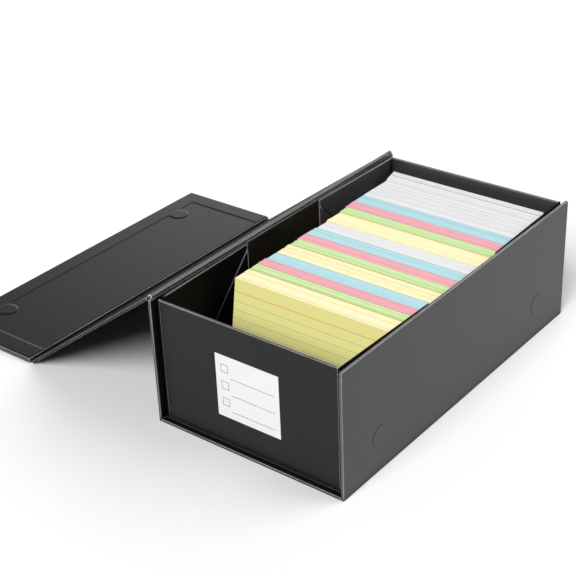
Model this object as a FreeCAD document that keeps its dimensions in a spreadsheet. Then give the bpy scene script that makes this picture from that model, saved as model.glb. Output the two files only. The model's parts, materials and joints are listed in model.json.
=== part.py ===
import FreeCAD, Part
import os
import re
import Sketcher

# An index card box of wrapped board: a case that folds round like a book cover, two end
# panels with folding corner gussets, a lid with a magnetic flap, and packs of cards.
# Origin: the centre of the box's underside. +X to the right of the label end, +Y away from
# the label end, +Z up. The lid lies open, down to the ground on the left, as it is photographed.

SIZES = {
    # cards
    "card_width": 152.4,
    "card_height": 101.6,
    "card_lean": 9.5,
    "card_clearance": 0.4,
    "card_lift": 0.2,
    "pack_gap": 0.3,
    "bunch_depth": 1.9,
    "bunch_pitch": 3.1,
    "bunch_rise": 0.6,
    "bunch_inset": 0.5,
    # room round the cards
    "side_room": 14.8,
    "head_room": 7.2,
    "front_room": 51.3,
    "far_room": 9.8,
    # boards, linings and the gaps between them
    "case_board": 2.2,
    "gusset_board": 1.5,
    "lining": 0.4,
    "hinge_cloth": 0.6,
    "seat_gap": 0.1,
    "fold_gap": 2.5,
    "end_recess": 5.0,
    "rim_drop": 0.5,
    "corner_radius": 2.0,
    "edge_radius": 0.6,
    # folding corners
    "crease_offset": 4.5,
    "crease_gap": 1.0,
    "crease_drop": 4.0,
    "panel_hinge_leg": 10.0,
    # lid and its hinge roll
    "lid_gap": 0.7,
    "hinge_inset": 0.5,
    "hinge_neck": 1.5,
    "hinge_clearance": 0.3,
    "lid_lining": 0.3,
    "lining_margin": 3.0,
    # flap and its hinge bead
    "bead_radius": 0.6,
    "lid_end_gap": 1.2,
    "flap_start_gap": 2.4,
    "flap_cloth": 0.4,
    "flap_lining": 0.3,
    "flap_lining_margin": 1.0,
    "turn_in_width": 16.5,
    "turn_in_step": 0.2,
    "flap_gap": 0.9,
    "flap_foot": 6.3,
    # magnets
    "magnet_radius": 9.0,
    "magnet_depth": 1.6,
    "magnet_fit": 0.2,
    "magnet_from_end": 46.5,
    "magnet_height": 31.0,
    "bump_margin": 0.5,
    "bump_height": 0.35,
    "disc_radius": 8.0,
    "disc_depth": 1.4,
    "disc_bump_height": 0.15,
    # label
    "label_width": 60.0,
    "label_height": 55.0,
    "label_depth": 0.2,
}

# The packs of cards from the label end backwards: depth, and shift towards the right wall
PACKS = {
    "front_yellow_cards": (19.0, 1.5),
    "front_green_cards": (8.7, 1.7),
    "front_pink_cards": (10.4, 1.2),
    "front_blue_cards": (12.8, 2.0),
    "middle_yellow_cards": (18.1, 2.2),
    "middle_green_cards": (9.5, 2.7),
    "middle_pink_cards": (11.7, 1.5),
    "middle_blue_cards": (12.9, 1.7),
    "middle_white_cards": (14.5, 3.0),
    "back_yellow_cards": (20.4, 1.7),
    "back_green_cards": (10.3, 0.8),
    "back_pink_cards": (12.3, -1.1),
    "back_blue_cards": (14.4, -0.9),
    "back_white_cards": (37.3, -1.2),
    "last_white_cards": (17.2, -4.6),
}

# How far the bunches in a pack stand out: upwards, and to the left, in turn
RISE_SHARES = (1.0, 0.4, 0.8, 0.2, 0.6)
SIDE_SHARES = (0.3, 1.0, 0.0, 0.7)

# Lengths and places that follow from the sizes, each a formula of sizes and of the ones above it
FORMULAS = {
    "cards_depth": " + ".join(f"{name}_depth" for name in PACKS) + f" + {len(PACKS) - 1} * pack_gap",
    "card_rise": "card_height * cos(card_lean)",
    "card_slope": "card_height * sin(card_lean)",
    "floor_top": "case_board + lining",
    "wall_height": "floor_top + card_rise + head_room",
    "inside_length": "front_room + cards_depth + card_slope + far_room",
    "clear_width": "side_room + card_width + card_clearance",
    "box_width": "clear_width + 2 * (gusset_board + fold_gap + case_board)",
    "box_length": "inside_length + 2 * (case_board + end_recess)",
    "panel_height": "wall_height - rim_drop - floor_top - seat_gap",
    "gusset_length": "panel_height - crease_drop + crease_offset",
    "panel_face": "box_length / 2 - end_recess",
    "hinge_radius": "lid_gap + case_board / 2",
    "hinge_x": "-box_width / 2 + hinge_inset",
    "hinge_z": "wall_height + hinge_radius",
    "lid_start": "hinge_radius + hinge_clearance",
    "flap_board_depth": "2 * case_board",
    "flap_depth": "flap_board_depth + flap_lining + turn_in_step",
    "bead_offset": "case_board / 2 - bead_radius",
    "lid_reach": "box_width - hinge_inset + flap_gap + flap_depth - bead_radius",
    "hinge_span": "sqrt(lid_reach ^ 2 + bead_offset ^ 2)",
    "hinge_fall": "hinge_z - bead_radius",
    "bead_x": "hinge_x - sqrt(hinge_span ^ 2 - hinge_fall ^ 2)",
    "flap_reach": "hinge_z + bead_offset - flap_foot",
    "magnet_reach": "hinge_z + bead_offset - magnet_height",
    "lid_opening": "180 + asin(hinge_fall / hinge_span) / (1 deg)"
    " - atan(bead_offset / lid_reach) / (1 deg)",
    "gusset_toe": "atan((fold_gap - seat_gap) / (gusset_length + case_board)) / (1 deg)",
    "cards_left": "clear_width / 2 - card_clearance - card_width",
    "cards_floor": "floor_top + card_lift",
    "cards_start": "-inside_length / 2 + front_room",
}

X_AXIS = FreeCAD.Vector(1, 0, 0)
Z_AXIS = FreeCAD.Vector(0, 0, 1)
OPENING_AXIS = FreeCAD.Vector(0, -1, 0)

doc = FreeCAD.newDocument("index_card_box")
sheet = doc.addObject("Spreadsheet::Sheet", "Sizes")


def fill_sheet():
    """Writes every driving dimension into its own named cell."""
    for name, (depth, shift) in PACKS.items():
        SIZES[name + "_depth"] = depth
        SIZES[name + "_shift"] = shift
    for row, (alias, value) in enumerate(SIZES.items(), 1):
        sheet.set(f"A{row}", alias)
        sheet.set(f"B{row}", str(value))
        sheet.setAlias(f"B{row}", alias)
    doc.recompute()


def formula(text):
    """A formula in words, with each derived name written out and each size named in the sheet."""
    def word(match):
        name = match.group(0)
        if name in FORMULAS:
            return f"({formula(FORMULAS[name])})"
        if name in SIZES:
            return f"Sizes.{name}"
        return name
    return re.sub(r"[A-Za-z_][A-Za-z_0-9]*", word, text)


def amount(text):
    """The number that a formula comes to."""
    return float(sheet.evalExpression(formula(text)))


def bind(thing, path, text):
    thing.setExpression(path, formula(text))


def place(thing, x="0", y="0", z="0", axis=None, angle=None):
    """Puts a sub-part in the box, turned about an axis by an angle that may be a formula."""
    rotation = FreeCAD.Rotation(axis, amount(angle)) if axis else FreeCAD.Rotation()
    thing.Placement = FreeCAD.Placement(FreeCAD.Vector(), rotation)
    for path, text in zip("xyz", (x, y, z)):
        bind(thing, f"Placement.Base.{path}", text)
    if axis:
        bind(thing, "Placement.Rotation.Angle", angle)


def new_body(label):
    body = doc.addObject("PartDesign::Body", label)
    body.Label = label
    return body


def new_sketch(body, plane, offset=("0", "0", "0")):
    """An empty sketch on one of the body's own origin planes, moved by three formulas."""
    sketch = body.newObject("Sketcher::SketchObject", body.Name + "_sketch")
    face = next(f for f in body.Origin.OriginFeatures if f.Role == plane)
    sketch.AttachmentSupport = [(face, "")]
    sketch.MapMode = "FlatFace"
    for path, text in zip("xyz", offset):
        if text != "0":
            bind(sketch, f"AttachmentOffset.Base.{path}", text)
    return sketch


def fix(sketch, kind, items, text):
    """Adds a dimension to a sketch and binds it to a formula."""
    index = sketch.addConstraint(Sketcher.Constraint(kind, *items, amount(text)))
    bind(sketch, f"Constraints[{index}]", text)


def pin_point(sketch, line, end, x, y):
    """Fixes a point of a sketch at two formulas, or on an axis where one of them is 0."""
    for kind, text, axis in (("DistanceX", x, -2), ("DistanceY", y, -1)):
        if text == "0":
            sketch.addConstraint(Sketcher.Constraint("PointOnObject", line, end, axis))
        else:
            fix(sketch, kind, (-1, 1, line, end), text)


def draw_outline(sketch, points):
    """A closed outline of straight lines through points that are pairs of formulas."""
    corners = [FreeCAD.Vector(amount(x), amount(y), 0) for x, y in points]
    count = len(corners)
    for i in range(count):
        sketch.addGeometry(Part.LineSegment(corners[i], corners[(i + 1) % count]), False)
    for i in range(count):
        sketch.addConstraint(Sketcher.Constraint("Coincident", i, 2, (i + 1) % count, 1))
    for i, (x, y) in enumerate(points):
        pin_point(sketch, i, 1, x, y)


def draw_rectangle(sketch, width, height):
    draw_outline(sketch, [("0", "0"), (width, "0"), (width, height), ("0", height)])


def draw_circles(sketch, centres, radius):
    """Circles of one radius whose centres are pairs of formulas."""
    for i, (x, y) in enumerate(centres):
        centre = FreeCAD.Vector(amount(x), amount(y), 0)
        sketch.addGeometry(Part.Circle(centre, Z_AXIS, amount(radius)), False)
        pin_point(sketch, i, 3, x, y)
        fix(sketch, "Radius", (i,), radius)


def add_pad(body, sketch, depth, reverse=False):
    pad = body.newObject("PartDesign::Pad", body.Name + "_pad")
    pad.Profile = sketch
    pad.Reversed = reverse
    bind(pad, "Length", depth)
    sketch.Visibility = False
    doc.recompute()
    return pad


def add_pocket(body, sketch, depth, reverse=False):
    """Cuts a pocket and stops if it removed nothing."""
    before = body.Shape.Volume
    pocket = body.newObject("PartDesign::Pocket", body.Name + "_pocket")
    pocket.Profile = sketch
    pocket.Reversed = reverse
    bind(pocket, "Length", depth)
    doc.recompute()
    if body.Shape.Volume >= before:
        raise RuntimeError(body.Label + ": the pocket cut nothing")
    return pocket


def add_fillet(body, feature, radius, wanted):
    """Rounds the edges of a feature for which wanted(edge) is true."""
    names = [f"Edge{i}" for i, e in enumerate(feature.Shape.Edges, 1) if wanted(e)]
    fillet = body.newObject("PartDesign::Fillet", body.Name + "_fillet")
    fillet.Base = (feature, names)
    bind(fillet, "Radius", radius)
    doc.recompute()
    return fillet


def runs_along(edge, index):
    """True for a straight edge parallel to the X, Y or Z axis with this index."""
    if not isinstance(edge.Curve, Part.Line):
        return False
    return abs(abs(edge.tangentAt(edge.FirstParameter)[index]) - 1) < 1e-6


def wrapped_board(label, plane, width, height, depth, offset=("0", "0", "0"), through=2,
                  free_corner=None):
    """A rectangular board wrapped in covering, with softened edges.

    through is the index of the axis that runs through the board's thickness. Corners where
    free_corner(point) is true are rounded; the others lie along a fold and stay square.
    """
    body = new_body(label)
    sketch = new_sketch(body, plane, offset)
    draw_rectangle(sketch, width, height)
    board = add_pad(body, sketch, depth)
    if free_corner:
        board = add_fillet(body, board, "corner_radius",
                           lambda e: runs_along(e, through) and free_corner(e.CenterOfMass))
    add_fillet(body, board, "edge_radius", lambda e: not runs_along(e, through))
    return body


def flat_sheet(label, plane, width, height, depth, offset=("0", "0", "0"), reverse=False):
    """A rectangular sheet of lining or cloth with square edges."""
    body = new_body(label)
    sketch = new_sketch(body, plane, offset)
    draw_rectangle(sketch, width, height)
    add_pad(body, sketch, depth, reverse)
    return body


# Case: the bottom board, the two side walls and the cloth in their hinge grooves

def make_bottom_board():
    groove = "(case_board + hinge_cloth + 2 * seat_gap)"
    body = wrapped_board("bottom_board", "XY_Plane", f"box_width - 2 * {groove}",
                         "box_length", "case_board")
    place(body, f"-box_width / 2 + {groove}", "-box_length / 2")


def make_side_walls():
    """Two walls that stand beside the bottom board. The right one holds the closing discs."""
    wall = ("YZ_Plane", "box_length", "wall_height", "case_board")
    left = wrapped_board("left_wall", *wall, through=0)
    place(left, "-box_width / 2", "-box_length / 2")
    middle = amount("wall_height / 2")
    right = wrapped_board("right_wall", *wall, through=0, free_corner=lambda p: p.z > middle)
    place(right, "box_width / 2 - case_board", "-box_length / 2")
    places = [("magnet_from_end", "magnet_height"),
              ("box_length - magnet_from_end", "magnet_height")]
    pockets = new_sketch(right, "YZ_Plane")
    draw_circles(pockets, places, "disc_radius + magnet_fit")
    add_pocket(right, pockets, "disc_depth + magnet_fit", reverse=True)
    bumps = new_sketch(right, "YZ_Plane", ("0", "0", "case_board"))
    draw_circles(bumps, places, "disc_radius + bump_margin")
    add_pad(right, bumps, "disc_bump_height")


def make_base_hinges():
    """The covering where it turns up between the bottom board and each wall."""
    for label, x in (("left_base_hinge", "-box_width / 2 + case_board + seat_gap"),
                     ("right_base_hinge", "box_width / 2 - case_board - seat_gap - hinge_cloth")):
        body = flat_sheet(label, "XY_Plane", "hinge_cloth", "box_length - 2 * corner_radius",
                          "case_board")
        place(body, x, "-box_length / 2 + corner_radius")


def make_linings():
    """Black paper on the floor and on each wall between its gussets."""
    inset = "(case_board + gusset_board + 2 * seat_gap)"
    floor = flat_sheet("floor_lining", "XY_Plane", f"box_width - 2 * {inset}",
                       "inside_length + 2 * case_board", "lining")
    place(floor, f"-box_width / 2 + {inset}", "-panel_face", "case_board")
    start = "(-inside_length / 2 + gusset_length + seat_gap)"
    for label, x in (("left_wall_lining", "-box_width / 2 + case_board"),
                     ("right_wall_lining", "box_width / 2 - case_board - lining")):
        body = flat_sheet(label, "YZ_Plane", f"-2 * {start}", "panel_height", "lining")
        place(body, x, start, "floor_top + seat_gap")


# End panels, their folding gussets and the strips that hinge them to the floor

def make_end_panels():
    """Panels set in from the ends of the walls, between the upper gussets."""
    for label, y in (("near_end_panel", "-panel_face + case_board"), ("far_end_panel", "panel_face")):
        body = wrapped_board(label, "XZ_Plane", "clear_width - 2 * seat_gap", "panel_height",
                             "case_board", through=1)
        place(body, "-clear_width / 2 + seat_gap", y, "floor_top + seat_gap")


def gusset(label, outline, side, far, x, turn):
    """One gusset board in the plane of a wall, drawn for the near end and turned for the far."""
    body = new_body(label)
    sketch = new_sketch(body, "YZ_Plane")
    draw_outline(sketch, outline)
    outward = -side if far else side
    add_pad(body, sketch, "gusset_board", reverse=outward < 0)
    sign = "-" if outward > 0 else ""
    half_turn = "180" if far else "0"
    start = "panel_face" if far else "-panel_face"
    place(body, x if side > 0 else f"-({x})", start, "floor_top + seat_gap",
          Z_AXIS, f"{half_turn} + {sign}({turn})")


def make_gussets():
    """Each corner folds on a 45 degree crease between a lower and an upper board."""
    foot = "case_board + crease_offset"
    end = "case_board + gusset_length"
    upper = [("0", "0"), (foot, "0"), (end, "gusset_length - crease_offset"),
             (end, "panel_height"), ("0", "panel_height")]
    lower = [(f"{foot} + crease_gap", "0"), (end, "0"),
             (end, "gusset_length - crease_offset - crease_gap")]
    for side, side_name in ((-1, "left"), (1, "right")):
        for far, end_name in ((False, "near"), (True, "far")):
            gusset(f"{end_name}_{side_name}_lower_gusset", lower, side, far,
                   "box_width / 2 - case_board - gusset_board", "0")
            gusset(f"{end_name}_{side_name}_upper_gusset", upper, side, far,
                   "clear_width / 2", "gusset_toe")


def make_panel_hinges():
    """An angle of lining paper in each corner between an end panel and the floor."""
    leg = "panel_hinge_leg"
    angle = [("0", "0"), (leg, "0"), (leg, "lining"), ("lining", "lining"), ("lining", leg), ("0", leg)]
    for label, y, turn in (("near_panel_hinge", "-inside_length / 2", "0"),
                           ("far_panel_hinge", "inside_length / 2", "180")):
        body = new_body(label)
        sketch = new_sketch(body, "YZ_Plane", ("0", "0", "-clear_width / 2 + lining"))
        draw_outline(sketch, angle)
        add_pad(body, sketch, "clear_width - 2 * lining")
        place(body, "0", y, "floor_top", Z_AXIS, turn)


def make_label():
    body = flat_sheet("near_end_label", "XZ_Plane", "label_width", "label_height", "label_depth")
    place(body, "-label_width / 2", "-panel_face", "(wall_height - label_height) / 2")


# Lid: everything here is drawn from the hinge roll outwards and then turned open

def place_on_lid(body):
    place(body, "hinge_x", "0", "hinge_z", OPENING_AXIS, "lid_opening")


def make_lid_hinge():
    """A roll of covering that stands on a short neck along the left wall's top."""
    body = new_body("lid_hinge")
    sketch = new_sketch(body, "XZ_Plane")
    radius = amount("hinge_radius")
    left, right = amount("-hinge_inset"), amount("hinge_neck - hinge_inset")
    rise = [-(radius ** 2 - x ** 2) ** 0.5 for x in (left, right)]
    feet = [FreeCAD.Vector(x, -radius, 0) for x in (left, right)]
    knees = [FreeCAD.Vector(x, y, 0) for x, y in zip((left, right), rise)]
    top = FreeCAD.Vector(0, radius, 0)
    sketch.addGeometry(Part.Arc(knees[1], top, knees[0]), False)
    sketch.addGeometry(Part.LineSegment(knees[0], feet[0]), False)
    sketch.addGeometry(Part.LineSegment(feet[0], feet[1]), False)
    sketch.addGeometry(Part.LineSegment(feet[1], knees[1]), False)
    sketch.addConstraint(Sketcher.Constraint("Coincident", 0, 3, -1, 1))
    sketch.addConstraint(Sketcher.Constraint("Coincident", 0, 2, 1, 1))
    sketch.addConstraint(Sketcher.Constraint("Coincident", 1, 2, 2, 1))
    sketch.addConstraint(Sketcher.Constraint("Coincident", 2, 2, 3, 1))
    sketch.addConstraint(Sketcher.Constraint("Coincident", 3, 2, 0, 1))
    sketch.addConstraint(Sketcher.Constraint("Vertical", 1))
    sketch.addConstraint(Sketcher.Constraint("Vertical", 3))
    fix(sketch, "Radius", (0,), "hinge_radius")
    pin_point(sketch, 2, 1, "-hinge_inset", "-hinge_radius")
    pin_point(sketch, 2, 2, "hinge_neck - hinge_inset", "-hinge_radius")
    add_pad(body, sketch, "box_length - 2 * corner_radius")
    place(body, "hinge_x", "box_length / 2 - corner_radius", "hinge_z")


def make_lid():
    board = wrapped_board("lid_board", "XY_Plane", "lid_reach - lid_end_gap - lid_start",
                          "box_length", "case_board",
                          ("lid_start", "-box_length / 2", "-case_board / 2"))
    place_on_lid(board)
    lining = flat_sheet("lid_lining", "XY_Plane",
                        "lid_reach - lid_end_gap - lid_start - 2 * lining_margin",
                        "box_length - 2 * lining_margin", "lid_lining",
                        ("lid_start + lining_margin", "-box_length / 2 + lining_margin",
                         "-case_board / 2"), reverse=True)
    place_on_lid(lining)


# Flap: two boards with magnets between them, lying on the ground beyond the lid

def make_flap_hinge():
    """The bead at the lid's far edge, and the tongue of covering that joins the flap to it."""
    length = "box_length - 2 * corner_radius"
    bead = new_body("flap_hinge")
    sketch = new_sketch(bead, "XZ_Plane")
    draw_circles(sketch, [("0", "0")], "bead_radius")
    add_pad(bead, sketch, length)
    place(bead, "bead_x", "box_length / 2 - corner_radius", "bead_radius")
    width = "flap_start_gap - bead_radius - hinge_clearance"
    tongue = flat_sheet("flap_hinge_cloth", "XY_Plane", width, length, "flap_cloth")
    place(tongue, "bead_x - flap_start_gap", "-box_length / 2 + corner_radius")


def flap_places():
    """The two magnets' centres, from the flap's free edge and its near end."""
    edge = "flap_reach - magnet_reach"
    return [(edge, "magnet_from_end"), (edge, "box_length - magnet_from_end")]


def make_flap_boards():
    middle = amount("(flap_reach - flap_start_gap) / 2")
    for label, z in (("flap_outer_board", "0"), ("flap_inner_board", "case_board")):
        body = wrapped_board(label, "XY_Plane", "flap_reach - flap_start_gap", "box_length",
                             "case_board", free_corner=lambda p: p.x < middle)
        place(body, "bead_x - flap_reach", "-box_length / 2", z)
        if label == "flap_inner_board":
            pockets = new_sketch(body, "XY_Plane", ("0", "0", "case_board"))
            draw_circles(pockets, flap_places(), "magnet_radius + magnet_fit")
            add_pocket(body, pockets, "magnet_depth")


def make_flap_lining():
    """Lining paper that shows the turned-in covering as a step, and the magnets as two bumps."""
    body = new_body("flap_lining")
    length = "box_length - 2 * flap_lining_margin"
    width = "flap_reach - flap_start_gap - 2 * flap_lining_margin"
    sketch = new_sketch(body, "XY_Plane")
    draw_rectangle(sketch, width, length)
    add_pad(body, sketch, "flap_lining")
    inner = f"{length} - turn_in_width"
    frame = new_sketch(body, "XY_Plane", ("0", "0", "flap_lining"))
    draw_outline(frame, [("0", "0"), (width, "0"), (width, "turn_in_width"),
                         ("turn_in_width", "turn_in_width"), ("turn_in_width", inner),
                         (width, inner), (width, length), ("0", length)])
    add_pad(body, frame, "turn_in_step")
    bumps = new_sketch(body, "XY_Plane", ("0", "0", "flap_lining"))
    margin = " - flap_lining_margin"
    places = [(x + margin, y + margin) for x, y in flap_places()]
    draw_circles(bumps, places, "magnet_radius + bump_margin")
    add_pad(body, bumps, "turn_in_step + bump_height")
    place(body, "bead_x - flap_reach + flap_lining_margin",
          "-box_length / 2 + flap_lining_margin", "flap_board_depth")


def disc_pair(label, radius, depth, centres, axis=None, angle="0"):
    """Two equal discs in one group, each centred at three formulas."""
    discs = []
    for i, (x, y, z) in enumerate(centres):
        disc = doc.addObject("Part::Cylinder", f"{label}_disc_{i}")
        bind(disc, "Radius", radius)
        bind(disc, "Height", depth)
        place(disc, x, y, z, axis, angle)
        discs.append(disc)
    pair = doc.addObject("Part::Compound", label)
    pair.Label = label
    pair.Links = discs


def make_magnets():
    ends = ("-box_length / 2 + magnet_from_end", "box_length / 2 - magnet_from_end")
    disc_pair("flap_magnets", "magnet_radius", "magnet_depth - seat_gap",
              [("bead_x - magnet_reach", y, "flap_board_depth - magnet_depth") for y in ends])
    disc_pair("wall_discs", "disc_radius", "disc_depth",
              [("box_width / 2 - case_board + seat_gap", y, "magnet_height") for y in ends],
              FreeCAD.Vector(0, 1, 0), "90")


# Cards: upright packs that all lean away from the label end

def card_slab(body, depth, height, left, right, start="0"):
    """A leaning slab of cards: its ends are level, and its faces slope by the cards' lean."""
    sketch = new_sketch(body, "YZ_Plane", (start, "0", left))
    slope, rise = f"({height}) * sin(card_lean)", f"({height}) * cos(card_lean)"
    draw_outline(sketch, [("0", "0"), (depth, "0"), (f"{depth} + {slope}", rise), (slope, rise)])
    return add_pad(body, sketch, f"card_width - ({left}) - ({right})")


def make_cards():
    """Packs side by side, each a block of cards with bunches that stand out a little."""
    start = "cards_start"
    for name in PACKS:
        depth = f"{name}_depth"
        body = new_body(name)
        card_slab(body, depth, "card_height - bunch_rise", "bunch_inset", "bunch_inset")
        count = max(1, int(amount(f"({depth} - bunch_depth) / bunch_pitch")))
        for i in range(count):
            rise, side = RISE_SHARES[i % len(RISE_SHARES)], SIDE_SHARES[i % len(SIDE_SHARES)]
            card_slab(body, "bunch_depth", f"card_height - bunch_rise * {1 - rise:.1f}",
                      f"bunch_inset * {1 - side:.1f}", f"bunch_inset * {side:.1f}",
                      f"({depth} - bunch_depth) * {2 * i + 1} / {2 * count}")
        place(body, f"cards_left + {name}_shift", start, "cards_floor")
        start += f" + {depth} + pack_gap"


def report_places():
    """Prints the places that the record repeats, in millimetres and degrees."""
    for name in ("box_width", "box_length", "wall_height", "hinge_x", "hinge_z", "bead_x",
                 "bead_radius", "lid_opening", "lid_reach", "flap_reach", "flap_depth",
                 "cards_left", "cards_start", "panel_face", "gusset_length"):
        print(f"{name} {amount(name):.4f}")


def check_and_write():
    """Stops on any failed object, then writes each sub-part to its own file."""
    doc.recompute()
    for thing in doc.Objects:
        if {"Invalid", "Error"} & set(thing.State):
            raise RuntimeError(f"{thing.Label} failed: {thing.State}")
    inner = {link for pair in doc.findObjects("Part::Compound") for link in pair.Links}
    kinds = ("PartDesign::Body", "Part::Compound", "Part::Cylinder")
    parts = [t for t in doc.Objects if t.TypeId in kinds and t not in inner]
    for part in parts:
        if part.Shape.isNull() or not part.Shape.isValid():
            raise RuntimeError(f"{part.Label} has no valid shape")
    os.makedirs("parts", exist_ok=True)
    for part in parts:
        part.Shape.exportStep(f"parts/{part.Label}.step")
    print(len(parts), "sub-parts written")


def main():
    fill_sheet()
    make_bottom_board()
    make_side_walls()
    make_base_hinges()
    make_linings()
    make_end_panels()
    make_gussets()
    make_panel_hinges()
    make_label()
    make_lid_hinge()
    make_lid()
    make_flap_hinge()
    make_flap_boards()
    make_flap_lining()
    make_magnets()
    make_cards()
    check_and_write()
    report_places()


main()
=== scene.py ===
import json
import math
import random

import bmesh
import bpy
from mathutils import Matrix, Vector


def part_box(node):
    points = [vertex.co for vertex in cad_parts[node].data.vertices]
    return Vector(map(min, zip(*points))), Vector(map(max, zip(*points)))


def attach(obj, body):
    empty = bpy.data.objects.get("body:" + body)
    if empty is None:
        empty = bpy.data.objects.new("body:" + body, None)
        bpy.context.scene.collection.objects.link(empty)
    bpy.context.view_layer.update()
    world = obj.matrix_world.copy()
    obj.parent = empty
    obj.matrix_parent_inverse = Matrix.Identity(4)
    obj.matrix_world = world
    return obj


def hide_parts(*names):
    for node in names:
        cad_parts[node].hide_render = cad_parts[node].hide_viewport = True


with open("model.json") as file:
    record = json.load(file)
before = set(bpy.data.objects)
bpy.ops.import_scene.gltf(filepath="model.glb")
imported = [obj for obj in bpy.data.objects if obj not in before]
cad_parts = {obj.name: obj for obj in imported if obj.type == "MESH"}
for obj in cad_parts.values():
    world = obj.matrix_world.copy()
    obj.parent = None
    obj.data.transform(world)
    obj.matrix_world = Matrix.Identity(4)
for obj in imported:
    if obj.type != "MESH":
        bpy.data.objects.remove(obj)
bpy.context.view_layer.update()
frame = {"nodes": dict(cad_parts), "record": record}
MM = 0.001

# Camera: the photograph's view of the box, in degrees, millimetres and pixels
VIEW_AZIMUTH = 39.04
VIEW_ELEVATION = 29.2
VIEW_ROLL = -2.44
VIEW_DISTANCE = 1156.8
VIEW_OFFSET = (-69.2, 63.6)
FOCAL_PIXELS = 1383.2
FRAME_PIXELS = 576

# Light from all round, and a soft glow low down behind the flap: it is full up to one angle from
# its middle and ends at another
ROOM_LIGHT = 0.15
GLOW_LIGHT = 1.6
GLOW_AZIMUTH = -158
GLOW_ELEVATION = 10
GLOW_FULL = math.radians(14)
GLOW_NONE = math.radians(40)

# Lamps: azimuth, elevation and spread in degrees, and level
FRONT_LAMP = (8, 42, 34, 0.94)
RIGHT_LAMP = (132, 42, 50, 0.48)

# Floor: how white it looks, its half width in metres, and its gap under the object
SEEN_FLOOR = 0.9
FLOOR_REACH = 4.0
FLOOR_GAP = 0.05 * MM

# Cards, in millimetres: their lines are measured down from the top edge
CARD_LEAN = math.radians(9.5)
CARD_PITCH = 0.30
CARD_THICKNESS = 0.29
HEADING_LINE = 10.8
FIRST_RULE = 18.9
RULE_SPACING = 7.14

# How the cards of a pack stand: bunches start at random, and single cards are low
BUNCH_CHANCE = 0.06
BUNCH_SHIFT = 0.35
FIRST_DROP = 1.1
LEAST_DROP = 0.95
MOST_DROP = 1.2
SIDE_PLAY = 0.12
TOP_PLAY = 0.03
PACK_MARGIN = 0.4
LOW_CHANCE = 0.02
LOW_WHITE_CHANCE = 0.07
LEAST_LOW = 0.2
MOST_LOW = 0.8
GROOVE_CARDS = 4
GROOVE_DEPTH = 6.0
LAST_PACK_FAN = 1.95
CARD_COLOURS = {
    "yellow": ((251, 244, 156), (253, 241, 195)),
    "green": ((190, 224, 150), (205, 234, 164)),
    "pink": ((226, 150, 164), (240, 168, 178)),
    "blue": ((160, 206, 218), (178, 219, 227)),
    "white": ((220, 220, 221), (230, 230, 231)),
}


def linear(channel):
    share = channel / 255
    return share / 12.92 if share <= 0.04045 else ((share + 0.055) / 1.055) ** 2.4


def colour(red, green, blue):
    """A colour given as it looks on screen, 0 to 255, in the renderer's own units."""
    return (linear(red), linear(green), linear(blue), 1)


class Graph:
    """A material's node tree, with one short call for each kind of node used here."""

    def __init__(self, name):
        self.material = bpy.data.materials.new(name)
        self.material.use_nodes = True
        self.nodes = self.material.node_tree.nodes
        self.links = self.material.node_tree.links
        self.shader = self.nodes["Principled BSDF"]

    def put(self, socket, value):
        if isinstance(value, bpy.types.NodeSocket):
            self.links.new(value, socket)
        elif value is not None:
            socket.default_value = value

    def add(self, kind, inputs=(), **settings):
        node = self.nodes.new("ShaderNode" + kind)
        for name, value in settings.items():
            setattr(node, name, value)
        for key, value in dict(inputs).items():
            self.put(node.inputs[key], value)
        return node

    def math(self, operation, first, second=None, clamp=False):
        node = self.add("Math", {0: first, 1: second}, operation=operation, use_clamp=clamp)
        return node.outputs[0]

    def place(self):
        return self.add("TexCoord").outputs["Object"]

    def noise(self, scale, detail=2.0, roughness=0.5, vector=None):
        inputs = {"Scale": scale, "Detail": detail, "Roughness": roughness,
                  "Vector": vector or self.place()}
        return self.add("TexNoise", inputs).outputs["Fac"]

    def span(self, value, low, high, to_low=0.0, to_high=1.0):
        node = self.add("MapRange", {0: value, 1: low, 2: high, 3: to_low, 4: to_high})
        return node.outputs[0]

    def mix(self, share, first, second, blend="MIX"):
        node = self.add("Mix", {0: share, 6: first, 7: second}, data_type="RGBA", blend_type=blend)
        return node.outputs[2]

    def bump(self, height, strength, distance, normal=None):
        inputs = {"Height": height, "Strength": strength, "Distance": distance, "Normal": normal}
        return self.add("Bump", inputs).outputs[0]

    def surface(self, **values):
        for name, value in values.items():
            self.put(self.shader.inputs[name.replace("_", " ")], value)
        return self.material


def rim_mask(graph, reach, gain):
    """1 along the folded rims of a board and 0 on its broad faces."""
    inner = graph.add("AmbientOcclusion", {"Distance": reach}, samples=6, inside=True, only_local=True)
    return graph.math("MULTIPLY", graph.math("SUBTRACT", 1.0, inner.outputs["AO"]), gain, clamp=True)


def crevice_shade_mask(graph, reach):
    """Where painted shade goes: 1 in a narrow gap or a corner and 0 on an open face."""
    outer = graph.add("AmbientOcclusion", {"Distance": reach}, samples=6)
    return graph.span(outer.outputs["AO"], 0.45, 0.8, 1.0, 0.0)


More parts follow.
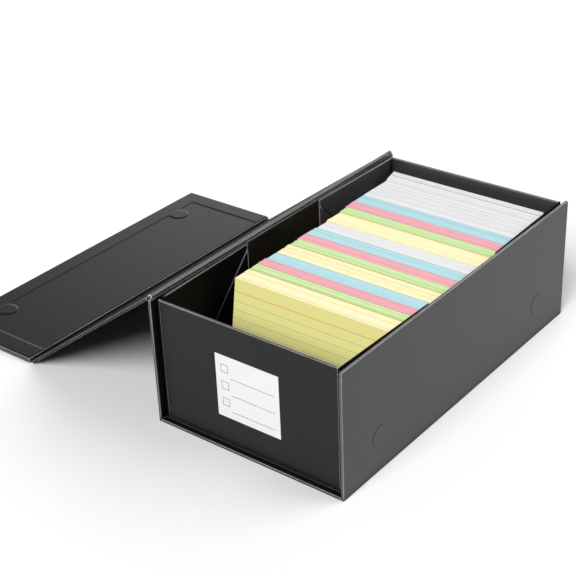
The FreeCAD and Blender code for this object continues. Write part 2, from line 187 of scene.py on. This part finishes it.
def leatherette(name, tone=18, sheen=0.42, rim=214, reach=0.8, gain=3.0, gloss=0.25, top_rim_share=1.0,
                fades=(), thin_spots=()):
    """Black leather-grain covering paper, lighter and smoother along its folded rims from rubbing and a
    painted highlight, and darkened by painted shade in gaps and corners.

    top_rim_share is the share of the rims' rubbing and painted highlight that faces looking up have. Each
    fade is an axis and the places along it where that rubbing and painted highlight start and are full. Thin
    spots are circles, each a centre and a radius, where a thin skin isn't a rim.
    """
    graph = Graph(name)
    cells = graph.add("TexVoronoi", {"Scale": 1350.0, "Vector": graph.place()},
                      feature="SMOOTH_F1").outputs["Distance"]
    fine = graph.noise(2600.0, 3.0, 0.6)
    cloud = graph.noise(26.0, 4.0, 0.55)
    mottle = graph.span(cloud, 0.3, 0.7)
    base = graph.mix(mottle, colour(tone, tone, tone + 1), colour(tone + 6, tone + 6, tone + 7))
    base = graph.mix(graph.span(cells, 0.0, 0.6), base, colour(tone + 8, tone + 8, tone + 9))
    # Rim lightening: partly real rubbing, partly a painted highlight on the rounded edges
    rim_wear_and_highlight = graph.math("MULTIPLY", rim_mask(graph, reach * MM, gain), graph.span(cloud, 0.3, 0.6, 0.6, 1.0))
    if top_rim_share < 1:
        up = graph.add("SeparateXYZ", {0: graph.add("TexCoord").outputs["Normal"]}).outputs["Z"]
        rim_wear_and_highlight = graph.math("MULTIPLY", rim_wear_and_highlight, graph.span(up, 0.4, 0.8, 1.0, top_rim_share))
    for axis, start, full in fades:
        along = graph.add("SeparateXYZ", {0: graph.place()}).outputs[axis]
        rim_wear_and_highlight = graph.math("MULTIPLY", rim_wear_and_highlight, graph.span(along, start, full))
    for centre, radius in thin_spots:
        gap = graph.add("VectorMath", {0: graph.place(), 1: centre}, operation="DISTANCE").outputs["Value"]
        rim_wear_and_highlight = graph.math("MULTIPLY", rim_wear_and_highlight, graph.math("GREATER_THAN", gap, radius))
    # Rims are lightened towards the rim colour, by rubbing and a painted highlight
    base = graph.mix(rim_wear_and_highlight, base, colour(rim, rim, rim + 2))
    # Painted shade: gaps and corners are darkened nearly to black
    crevice_shade = crevice_shade_mask(graph, 9 * MM)
    base = graph.mix(crevice_shade, base, colour(4, 4, 4))
    roughness = graph.math("ADD", graph.span(fine, 0.3, 0.7, -0.05, 0.05), sheen)
    roughness = graph.math("ADD", roughness, graph.math("MULTIPLY", crevice_shade, 0.25))
    roughness = graph.math("SUBTRACT", roughness, graph.math("MULTIPLY", rim_wear_and_highlight, 0.14))
    grain = graph.math("ADD", graph.math("MULTIPLY", cells, 0.7), graph.math("MULTIPLY", fine, 0.3))
    normal = graph.bump(grain, 0.35, 0.06 * MM)
    return graph.surface(Base_Color=base, Roughness=roughness, Normal=normal, Specular_IOR_Level=gloss)


def lining_paper(name, sheen, gloss):
    """Smooth black paper with faint fibres and a painted highlight along its rims."""
    graph = Graph(name)
    fibres = graph.noise(900.0, 5.0, 0.65)
    cloud = graph.noise(35.0, 3.0)
    base = graph.mix(graph.span(fibres, 0.35, 0.65), colour(16, 15, 12), colour(24, 22, 17))
    # Painted highlight: the paper's rims are lightened to grey
    base = graph.mix(rim_mask(graph, 0.28 * MM, 1.2), base, colour(110, 110, 112))
    return graph.surface(Base_Color=base, Roughness=graph.span(cloud, 0.3, 0.7, sheen - 0.04, sheen + 0.04),
                         Normal=graph.bump(fibres, 0.2, 0.03 * MM), Specular_IOR_Level=gloss)


def card_paper(name, face, edge):
    """Ruled card: lines on its faces from the card's own measure, paler cut edges, and painted shade in the
    gaps between cards.
    """
    graph = Graph(name)
    down = graph.add("SeparateXYZ", {0: graph.add("UVMap", uv_map="card").outputs[0]}).outputs["Y"]
    tone = graph.add("Attribute", attribute_name="tone").outputs["Fac"]
    cut = graph.add("Attribute", attribute_name="cut").outputs["Fac"]
    fibres = graph.noise(1500.0, 4.0, 0.6)
    base = graph.mix(cut, colour(*face), colour(*edge))
    base = graph.mix(graph.math("MULTIPLY", tone, 0.22), base, colour(*(c * 0.8 for c in face)))
    base = graph.mix(graph.span(fibres, 0.3, 0.7, 0.0, 0.05), base, colour(255, 255, 255))
    # Painted shade: the paper darkens in the narrow gaps between cards
    outer = graph.add("AmbientOcclusion", {"Distance": 3 * MM}, samples=6)
    gap = graph.span(outer.outputs["AO"], 0.4, 0.75, 0.7, 0.0)
    base = graph.mix(gap, base, colour(*(c * 0.45 for c in face)))

    def line(offset, half_width):
        distance = graph.math("ABSOLUTE", offset)
        return graph.span(distance, half_width * 0.7, half_width * 1.3, 1.0, 0.0)

    heading = line(graph.math("SUBTRACT", down, HEADING_LINE * MM), 0.28 * MM)
    below = graph.math("SUBTRACT", down, (FIRST_RULE - RULE_SPACING / 2) * MM)
    within = graph.math("SUBTRACT", graph.math("MODULO", below, RULE_SPACING * MM), RULE_SPACING / 2 * MM)
    rules = graph.math("MULTIPLY", line(within, 0.22 * MM), graph.math("GREATER_THAN", below, 0.0))
    base = graph.mix(graph.math("MULTIPLY", rules, 0.55), base, colour(120, 150, 130))
    base = graph.mix(graph.math("MULTIPLY", heading, 0.75), base, colour(232, 120, 80))
    return graph.surface(Base_Color=base, Roughness=0.62, Normal=graph.bump(fibres, 0.15, 0.02 * MM),
                         Specular_IOR_Level=0.3)


def label_paper():
    graph = Graph("white_label_paper")
    fibres = graph.noise(1800.0, 4.0, 0.6)
    base = graph.mix(graph.span(fibres, 0.3, 0.7), colour(226, 226, 226), colour(232, 232, 232))
    return graph.surface(Base_Color=base, Roughness=0.5, Normal=graph.bump(fibres, 0.1, 0.02 * MM))


def printing_ink():
    graph = Graph("grey_printing_ink")
    density = graph.noise(2500.0, 3.0)
    base = graph.mix(graph.span(density, 0.3, 0.7), colour(96, 96, 98), colour(124, 124, 126))
    return graph.surface(Base_Color=base, Roughness=0.55)


def plated_steel():
    graph = Graph("plated_steel")
    brushed = graph.noise(900.0, 3.0)
    return graph.surface(Base_Color=colour(190, 190, 194), Metallic=1.0,
                         Roughness=graph.span(brushed, 0.3, 0.7, 0.25, 0.4))


def slot_finishes():
    """One finish for each material slot of the record."""
    finishes = {
        "leatherette": leatherette("black_leatherette"),
        "lining_paper": lining_paper("black_lining_paper", 0.28, 0.5),
        "magnet_steel": plated_steel(),
        "label_paper": label_paper(),
    }
    for name, shades in CARD_COLOURS.items():
        finishes[name + "_card"] = card_paper(name + "_ruled_card", *shades)
    return finishes


def wall_covering():
    """The right wall's covering, with no rim wear or painted highlight on the thin skin over its two discs.
    """
    low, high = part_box("wall_discs")
    radius, margin = (high.z - low.z) / 2, 3 * MM
    face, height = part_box("right_wall")[1].x, (low.z + high.z) / 2
    spots = [((face, y, height), radius + margin) for y in (low.y + radius, high.y - radius)]
    return leatherette("black_wall_leatherette", tone=30, rim=210, gain=3.0, gloss=0.56, thin_spots=spots)


def gusset_coverings():
    """Gussets on the left show lightened rims, rubbed and with a painted highlight, the near ones in a darker
    copy of the covering for painted shade and the far ones in a lighter copy for painted light; those on the
    right show only dark tops, painted shade.
    """
    near_end, wall_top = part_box("near_end_panel")[0].y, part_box("left_wall")[1].z
    far_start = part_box("far_left_lower_gusset")[0].y
    near_fades = (("Y", near_end + 6 * MM, near_end + 10 * MM), ("Z", 0.0, wall_top))
    # Painted light: the far gussets get a lighter, glossier copy of the covering
    far_lit_look = {"tone": 50, "sheen": 0.34, "rim": 200, "gain": 3.0, "gloss": 0.6}
    # Painted shade: a near-black copy of the covering for the near-left gussets, whose lightened rims fade
    # out towards the near end and towards the bottom
    near_left = leatherette("black_shaded_gusset_leatherette", tone=6, sheen=0.55, rim=205, reach=0.9, gain=3.2,
                            gloss=0.05, top_rim_share=0.25, fades=near_fades)
    # Painted shade: the right gussets' tops are a black copy of the covering with no lightened rim
    right = leatherette("black_shaded_unworn_leatherette", tone=4, sheen=0.6, gain=0.0, gloss=0.05)
    far_left = {
        "lower": leatherette("black_lit_far_wall_leatherette", **far_lit_look,
                             fades=(("Y", far_start + 6 * MM, far_start + 3 * MM),)),
        "upper": leatherette("black_lit_far_fold_leatherette", **far_lit_look, top_rim_share=0.5,
                             fades=(("Z", wall_top - 7 * MM, wall_top - 4 * MM),)),
    }
    coverings = {}
    for layer in ("lower", "upper"):
        coverings[f"near_left_{layer}_gusset"] = near_left
        coverings[f"far_left_{layer}_gusset"] = far_left[layer]
        for end in ("near", "far"):
            coverings[f"{end}_right_{layer}_gusset"] = right
    return coverings


def dress_nodes(finishes):
    """Gives each solid its slot's finish, or one of its own where its wear or light differs."""
    special = {
        "right_wall": wall_covering(),
        "lid_lining": lining_paper("black_lid_lining_paper", 0.6, 0.05),
        "lid_hinge": leatherette("black_roll_leatherette", tone=30, sheen=0.26, gloss=1.0),
        # Painted shade: the lid board is a near-black copy of the covering, and its rims get a brighter
        # painted highlight
        "lid_board": leatherette("black_shaded_lid_leatherette", tone=6, sheen=0.55, rim=235, reach=0.5, gain=3.6,
                                 gloss=0.05),
        # Painted light: the far end panel is a lighter, glossier copy of the covering
        "far_end_panel": leatherette("black_lit_end_leatherette", tone=50, sheen=0.34, rim=200, gain=3.0,
                                     gloss=0.6, top_rim_share=0.5),
    }
    special.update(gusset_coverings())
    for part in frame["record"]["subparts"]:
        thing = frame["nodes"][part["node"]]
        thing.data.materials.clear()
        thing.data.materials.append(special.get(part["node"], finishes[part["material_slot"]]))


def new_piece(name, mesh, material, slot, body, *nodes):
    """Adds a finished mesh to the scene, on a body and in place of CAD nodes."""
    piece = bpy.data.objects.new(name, mesh)
    bpy.context.scene.collection.objects.link(piece)
    mesh.materials.append(material)
    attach(piece, body)
    if nodes:
        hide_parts(*nodes)
    return piece


def add_card(mesh, layers, left, right, front, floor, height, tone):
    """One leaning card as a thin closed box, with its measure and tone on its faces."""
    uv, tones, cuts = layers
    back = front + CARD_THICKNESS * MM / math.cos(CARD_LEAN)
    slope, rise = height * math.sin(CARD_LEAN), height * math.cos(CARD_LEAN)
    corners = {}
    for i, x in enumerate((left, right)):
        for j, y in enumerate((front, back)):
            for k in (0, 1):
                corners[i, j, k] = mesh.verts.new((x, y + k * slope, floor + k * rise))
    sides = {
        "front": ((0, 0, 0), (1, 0, 0), (1, 0, 1), (0, 0, 1)),
        "back": ((1, 1, 0), (0, 1, 0), (0, 1, 1), (1, 1, 1)),
        "top": ((0, 0, 1), (1, 0, 1), (1, 1, 1), (0, 1, 1)),
        "bottom": ((0, 1, 0), (1, 1, 0), (1, 0, 0), (0, 0, 0)),
        "left": ((0, 1, 0), (0, 0, 0), (0, 0, 1), (0, 1, 1)),
        "right": ((1, 0, 0), (1, 1, 0), (1, 1, 1), (1, 0, 1)),
    }
    for side, keys in sides.items():
        face = mesh.faces.new([corners[key] for key in keys])
        face[tones] = tone
        is_face = side in ("front", "back")
        face[cuts] = 0.0 if is_face else 1.0
        for loop, key in zip(face.loops, keys):
            across = key[0] * (right - left)
            loop[uv].uv = (across, (1 - key[2]) * height) if is_face else (0, 0)


def make_pack(node, seed, finishes):
    """A pack of single cards that fills the space of its CAD solid."""
    draw = random.Random(seed)
    low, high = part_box(node)
    height = (high.z - low.z) / math.cos(CARD_LEAN)
    depth = (high.y - low.y) - height * math.sin(CARD_LEAN)
    count = int(depth / (CARD_PITCH * MM))
    mesh = bmesh.new()
    layers = (mesh.loops.layers.uv.new("card"), mesh.faces.layers.float.new("tone"),
              mesh.faces.layers.float.new("cut"))
    hue = node.split("_")[1]
    groove = range(count - 1 - GROOVE_CARDS, count - 1) if hue == "yellow" else ()
    fan = LAST_PACK_FAN * MM if node == "last_white_cards" else 0.0
    low_chance = LOW_WHITE_CHANCE if hue == "white" else LOW_CHANCE
    drift, drop = 0.0, FIRST_DROP * MM
    for i in range(count):
        if draw.random() < BUNCH_CHANCE:
            drift = draw.uniform(-BUNCH_SHIFT, BUNCH_SHIFT) * MM
            drop = draw.uniform(LEAST_DROP, MOST_DROP) * MM
        side = drift + draw.uniform(-SIDE_PLAY, SIDE_PLAY) * MM + fan * (1 - 2 * i / count)
        short = drop + draw.uniform(0.0, TOP_PLAY) * MM
        if draw.random() < low_chance:
            short += draw.uniform(LEAST_LOW, MOST_LOW) * MM
        if i in groove:
            short += GROOVE_DEPTH * MM
        left, right = low.x + PACK_MARGIN * MM + side, high.x - PACK_MARGIN * MM + side
        front = low.y + i * depth / count
        add_card(mesh, layers, left, right, front, low.z, height - short, draw.random())
    data = bpy.data.meshes.new(node + "_sheets")
    mesh.to_mesh(data)
    mesh.free()
    new_piece(node + "_sheets", data, finishes[hue + "_card"], hue + "_card", node, node)


def add_bar(mesh, x, y, z, width, height, depth):
    """A thin flat bar of ink or tape with its corner at a point."""
    matrix = Matrix.Translation((x + width / 2, y - depth / 2, z + height / 2)) @ Matrix.Diagonal(
        (width, depth, height, 1))
    bmesh.ops.create_cube(mesh, size=1, matrix=matrix)


def make_label_print():
    """Three check boxes with a writing line beside each."""
    low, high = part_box("near_end_label")
    width, height = high.x - low.x, high.z - low.z
    stroke, film, box = 0.45 * MM, 0.02 * MM, 6.9 * MM
    box_left_share, line_left_share, line_share, line_drop_share = 0.085, 0.235, 0.69, 0.075
    mesh = bmesh.new()
    for box_share in (0.73, 0.46, 0.19):
        x, z = low.x + box_left_share * width, low.z + box_share * height
        for dx, dz, w, h in ((0, 0, box, stroke), (0, box - stroke, box, stroke),
                             (0, 0, stroke, box), (box - stroke, 0, stroke, box)):
            add_bar(mesh, x + dx, low.y, z + dz, w, h, film)
        x, z = low.x + line_left_share * width, low.z + (box_share - line_drop_share) * height
        add_bar(mesh, x, low.y, z, line_share * width, stroke, film)
    data = bpy.data.meshes.new("label_print")
    mesh.to_mesh(data)
    mesh.free()
    new_piece("label_print", data, printing_ink(), "label_paper", "root")


def smooth_step(value, low, high):
    share = min(max((value - low) / (high - low), 0.0), 1.0)
    return share * share * (3 - 2 * share)


def make_flap_facing():
    """The flap's inner face: paper drawn over the turned-in covering and the two magnets."""
    low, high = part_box("flap_lining")
    first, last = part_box("flap_magnets")
    radius = (last.x - first.x) / 2
    centres = [Vector(((first.x + last.x) / 2, y)) for y in (first.y + radius, last.y - radius)]
    turn_in, step, bump, shoulder, blend = 16.5 * MM, 0.42 * MM, 0.6 * MM, 1.1 * MM, 6 * MM
    thin = (high.z - low.z) - bump - 0.02 * MM
    columns, rows = 150, 420

    def height(x, y):
        ridge = turn_in - min(x - low.x, y - low.y, high.y - y)
        dome, groove = 0.0, 0.0
        for centre in centres:
            within = radius - (Vector((x, y)) - centre).length
            overlap = max(blend - abs(ridge - within), 0.0) / blend
            ridge = max(ridge, within) + overlap * overlap * blend / 4
            dome += (bump - step) * smooth_step(within, -0.8 * MM, 0.5 * MM)
            groove -= 0.06 * MM * math.exp(-((within + 1.6 * MM) / (0.9 * MM)) ** 2)
        return low.z + thin + step * smooth_step(ridge, -shoulder, shoulder) + dome + groove

    mesh = bmesh.new()
    grid = []
    for i in range(columns + 1):
        x = low.x + (high.x - low.x) * i / columns
        line = []
        for j in range(rows + 1):
            y = low.y + (high.y - low.y) * j / rows
            line.append(mesh.verts.new((x, y, height(x, y))))
        grid.append(line)
    for i in range(columns):
        for j in range(rows):
            face = mesh.faces.new((grid[i][j], grid[i + 1][j], grid[i + 1][j + 1], grid[i][j + 1]))
            face.smooth = True
    rim = [grid[i][0] for i in range(columns + 1)] + [grid[columns][j] for j in range(1, rows + 1)]
    rim += [grid[i][rows] for i in range(columns - 1, -1, -1)] + [grid[0][j] for j in range(rows - 1, 0, -1)]
    feet = [mesh.verts.new((v.co.x, v.co.y, low.z)) for v in rim]
    for i in range(len(rim)):
        j = (i + 1) % len(rim)
        mesh.faces.new((rim[i], feet[i], feet[j], rim[j]))
    mesh.faces.new(feet[::-1])
    bmesh.ops.recalc_face_normals(mesh, faces=mesh.faces)
    data = bpy.data.meshes.new("flap_facing")
    mesh.to_mesh(data)
    mesh.free()
    new_piece("flap_facing", data, leatherette("black_flap_leatherette", sheen=0.31, gain=0.0), "leatherette",
              "flap", "flap_lining")


def make_disc_rings():
    """The covering drawn over the rims of the two discs in the right wall."""
    low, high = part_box("wall_discs")
    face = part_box("right_wall")[1].x
    radius = (high.z - low.z) / 2
    ridge, width, turns, steps = 0.24 * MM, 1.8 * MM, 72, 8
    mesh = bmesh.new()
    for y in (low.y + radius, high.y - radius):
        loops = []
        for i in range(turns):
            angle = 2 * math.pi * i / turns
            loop = []
            for k in range(steps + 1):
                share = k / steps
                reach = radius + (2 * share - 1) * width
                rise = ridge * math.sin(math.pi * share) ** 2
                loop.append(mesh.verts.new((face - 0.1 * MM + rise, y + reach * math.cos(angle),
                                            (low.z + high.z) / 2 + reach * math.sin(angle))))
            loops.append(loop)
        for i in range(turns):
            here, there = loops[i], loops[(i + 1) % turns]
            for k in range(steps):
                mesh.faces.new((here[k], here[k + 1], there[k + 1], there[k])).smooth = True
            mesh.faces.new((here[steps], here[0], there[0], there[steps]))
    bmesh.ops.recalc_face_normals(mesh, faces=mesh.faces)
    data = bpy.data.meshes.new("disc_rings")
    mesh.to_mesh(data)
    mesh.free()
    covering = leatherette("black_ring_leatherette", tone=30, gain=0.0, gloss=0.56)
    new_piece("disc_rings", data, covering, "leatherette", "root")


def direction(azimuth, elevation):
    """Towards a place that is seen at an azimuth, 0 in front and 90 on the right, and an elevation."""
    turn, rise = math.radians(azimuth), math.radians(elevation)
    return Vector((math.sin(turn) * math.cos(rise), -math.cos(turn) * math.cos(rise), math.sin(rise)))


def make_camera():
    back, roll = direction(VIEW_AZIMUTH, VIEW_ELEVATION), math.radians(VIEW_ROLL)
    level = Vector((0, 0, 1)).cross(back).normalized()
    upright = back.cross(level)
    right = math.cos(roll) * level + math.sin(roll) * upright
    up = math.cos(roll) * upright - math.sin(roll) * level
    eye = (right * VIEW_OFFSET[0] + up * VIEW_OFFSET[1] + back * VIEW_DISTANCE) * MM
    data = bpy.data.cameras.new("camera")
    data.lens = FOCAL_PIXELS / FRAME_PIXELS * data.sensor_width
    data.clip_start = 0.01
    camera = bpy.data.objects.new("camera", data)
    camera.matrix_world = Matrix.Translation(eye) @ Matrix((right, up, back)).transposed().to_4x4()
    bpy.context.scene.collection.objects.link(camera)
    bpy.context.scene.camera = camera


def add_lamp(name, azimuth, elevation, spread, level):
    """A soft far lamp; level 1 renders a white surface that faces it as white."""
    data = bpy.data.lights.new(name, "SUN")
    data.angle, data.energy = math.radians(spread), level * math.pi
    lamp = bpy.data.objects.new(name, data)
    source = direction(azimuth, elevation)
    lamp.location = source
    lamp.rotation_euler = source.to_track_quat("Z", "Y").to_euler()
    bpy.context.scene.collection.objects.link(lamp)
    return lamp


def make_light():
    """A white studio: weak light from all round, a glow, and soft lamps in front and at the back right."""
    world = bpy.context.scene.world or bpy.data.worlds.new("studio")
    bpy.context.scene.world = world
    world.use_nodes = True
    tree = world.node_tree
    tree.nodes.clear()
    path = tree.nodes.new("ShaderNodeLightPath")
    seen = tree.nodes.new("ShaderNodeBackground")
    seen.inputs["Color"].default_value = (1, 1, 1, 1)
    lit = tree.nodes.new("ShaderNodeBackground")
    lit.inputs["Color"].default_value = (1, 1, 1, 1)
    view = tree.nodes.new("ShaderNodeTexCoord")
    toward = tree.nodes.new("ShaderNodeVectorMath")
    toward.operation = "DOT_PRODUCT"
    toward.inputs[1].default_value = direction(GLOW_AZIMUTH, GLOW_ELEVATION)
    fall = tree.nodes.new("ShaderNodeMapRange")
    fall.interpolation_type = "SMOOTHSTEP"
    span = (math.cos(GLOW_NONE), math.cos(GLOW_FULL), ROOM_LIGHT, GLOW_LIGHT)
    for socket, value in zip(fall.inputs[1:5], span):
        socket.default_value = value
    tree.links.new(view.outputs["Generated"], toward.inputs[0])
    tree.links.new(toward.outputs["Value"], fall.inputs[0])
    tree.links.new(fall.outputs[0], lit.inputs["Strength"])
    mix = tree.nodes.new("ShaderNodeMixShader")
    out = tree.nodes.new("ShaderNodeOutputWorld")
    tree.links.new(path.outputs["Is Camera Ray"], mix.inputs[0])
    tree.links.new(lit.outputs[0], mix.inputs[1])
    tree.links.new(seen.outputs[0], mix.inputs[2])
    tree.links.new(mix.outputs[0], out.inputs[0])
    add_lamp("front_lamp", *FRONT_LAMP).visible_glossy = False
    add_lamp("right_lamp", *RIGHT_LAMP)


def make_floor():
    """A white floor that keeps the object's shadow; it is seen a little whiter than it lights the object."""
    graph = Graph("white_floor")
    path = graph.add("LightPath")
    seen = graph.math("MAXIMUM", path.outputs["Is Camera Ray"], path.outputs["Is Glossy Ray"])
    seen = graph.math("MAXIMUM", seen, path.outputs["Is Transmission Ray"])
    grain = graph.noise(3.0, 2.0)
    plain = graph.mix(grain, colour(226, 226, 227), colour(230, 230, 231))
    base = graph.mix(seen, plain, (SEEN_FLOOR, SEEN_FLOOR, SEEN_FLOOR, 1))
    graph.surface(Base_Color=base, Roughness=0.9, Specular_IOR_Level=0.0)
    mesh = bpy.data.meshes.new("floor")
    square = ((-1, -1), (1, -1), (1, 1), (-1, 1))
    corners = [(x * FLOOR_REACH, y * FLOOR_REACH, -FLOOR_GAP) for x, y in square]
    mesh.from_pydata(corners, [], [(0, 1, 2, 3)])
    mesh.materials.append(graph.material)
    floor = bpy.data.objects.new("floor", mesh)
    bpy.context.scene.collection.objects.link(floor)


slot_looks = slot_finishes()
dress_nodes(slot_looks)
packs = [part["node"] for part in frame["record"]["subparts"] if part["node"].endswith("_cards")]
for seed, name in enumerate(packs):
    make_pack(name, seed, slot_looks)
make_label_print()
make_flap_facing()
make_disc_rings()
make_camera()
make_light()
make_floor()
bpy.context.scene.view_settings.view_transform = "Standard"
